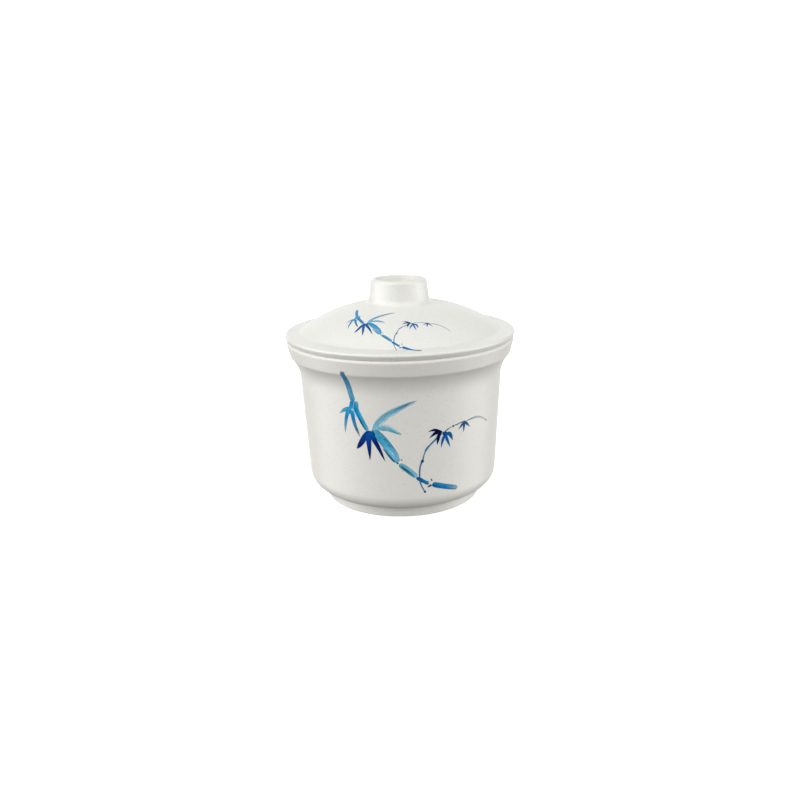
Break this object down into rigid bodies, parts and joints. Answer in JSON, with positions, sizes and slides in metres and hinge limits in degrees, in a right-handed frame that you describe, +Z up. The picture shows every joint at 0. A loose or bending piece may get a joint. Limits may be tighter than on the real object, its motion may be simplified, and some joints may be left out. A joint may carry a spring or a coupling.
{
  "type": "covered rice bowl",
  "caption": "Round covered rice bowl in moulded melamine with a flared rim, foot ring, lift-off domed lid with a dished knob, and a blue painted bamboo branch.",
  "frame": {"origin": "centre of the ring that the bowl stands on", "axes": "+Z up along the axis of the bowl and lid; -Y is the painted face; +X to the right of it"},
  "size_m": [0.1078, 0.1078, 0.1041],
  "materials": {
    "melamine": "satin gloss, off-white with fine grey specks",
    "bamboo_print": "satin gloss, blue brush strokes in washes from pale to navy"
  },
  "bodies": {
    "bowl": {"bowl": "melamine", "bowl_decal": "bamboo_print"},
    "lid": {"lid": "melamine", "lid_decal": "bamboo_print"}
  },
  "joints": [
    {"name": "lid_lift", "type": "slide", "parent": "bowl", "child": "lid", "axis": [0, 0, 1], "range_m": [0, 0.09]}
  ]
}
